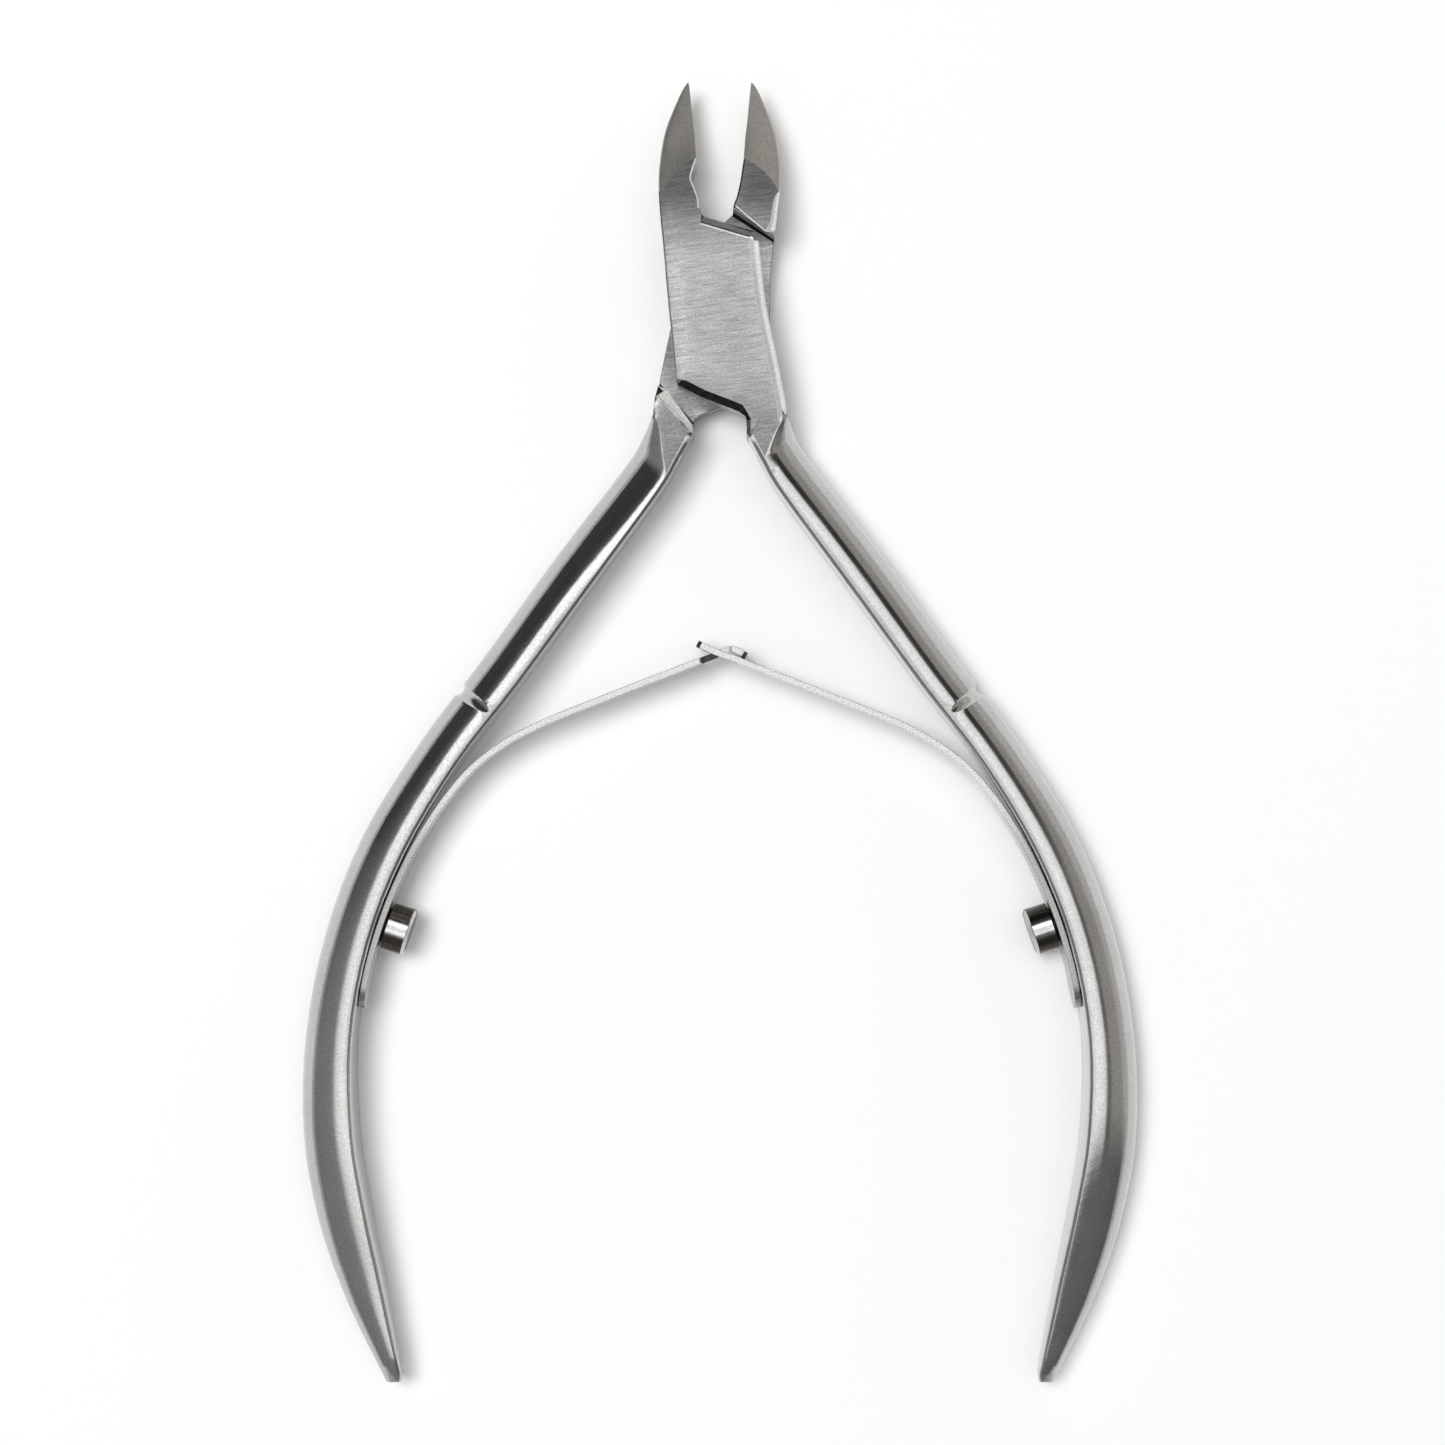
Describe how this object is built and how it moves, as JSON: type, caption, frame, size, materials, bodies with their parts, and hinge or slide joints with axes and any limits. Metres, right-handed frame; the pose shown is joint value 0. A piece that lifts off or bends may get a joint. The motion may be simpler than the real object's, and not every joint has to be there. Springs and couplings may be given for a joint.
{
  "type": "cuticle nipper",
  "caption": "Hand nipper for trimming cuticles, with a riveted half-lap joint, ground jaws, curved handles and interlocked leaf springs.",
  "frame": {"origin": "on the pivot axis, at the rear face of the lap joint", "axes": "+Y from the pivot towards the points of the jaws, +X to the right, +Z out of the front face"},
  "size_m": [0.0668, 0.1034, 0.006],
  "materials": {
    "forged_steel": "satin brushed lap faces and polished handles",
    "rivet_steel": "ground flush and brushed",
    "spring_steel": "polished faces with sheared edges",
    "screw_steel": "turned and polished"
  },
  "bodies": {
    "rear_half": {"rear_half": "forged_steel", "pivot_rivet": "rivet_steel", "left_spring_screw": "screw_steel"},
    "front_half": {"front_half": "forged_steel", "right_spring_screw": "screw_steel"},
    "left_spring": {"left_leaf_spring": "spring_steel"},
    "right_spring": {"right_leaf_spring": "spring_steel"}
  },
  "joints": [
    {"name": "jaw_pivot", "type": "hinge", "parent": "rear_half", "child": "front_half", "pos_m": [0, 0, 0.003], "axis": [0, 0, 1], "range_deg": [-14.4, 0], "stiffness_Nm_per_rad": 2},
    {"name": "left_leaf_bend", "type": "hinge", "parent": "rear_half", "child": "left_spring", "pos_m": [-0.022, -0.0385, 0.003], "axis": [0, 0, 1], "range_deg": [0, 12.6], "deforming": ["left_leaf_spring"]},
    {"name": "right_leaf_bend", "type": "hinge", "parent": "front_half", "child": "right_spring", "pos_m": [0.022, -0.0385, 0.003], "axis": [0, 0, 1], "range_deg": [-12.6, 0], "deforming": ["right_leaf_spring"]}
  ],
  "couplings": [
    {"joint": "left_leaf_bend", "follows": "jaw_pivot", "ratio": -0.86},
    {"joint": "right_leaf_bend", "follows": "jaw_pivot", "ratio": 0.86}
  ]
}
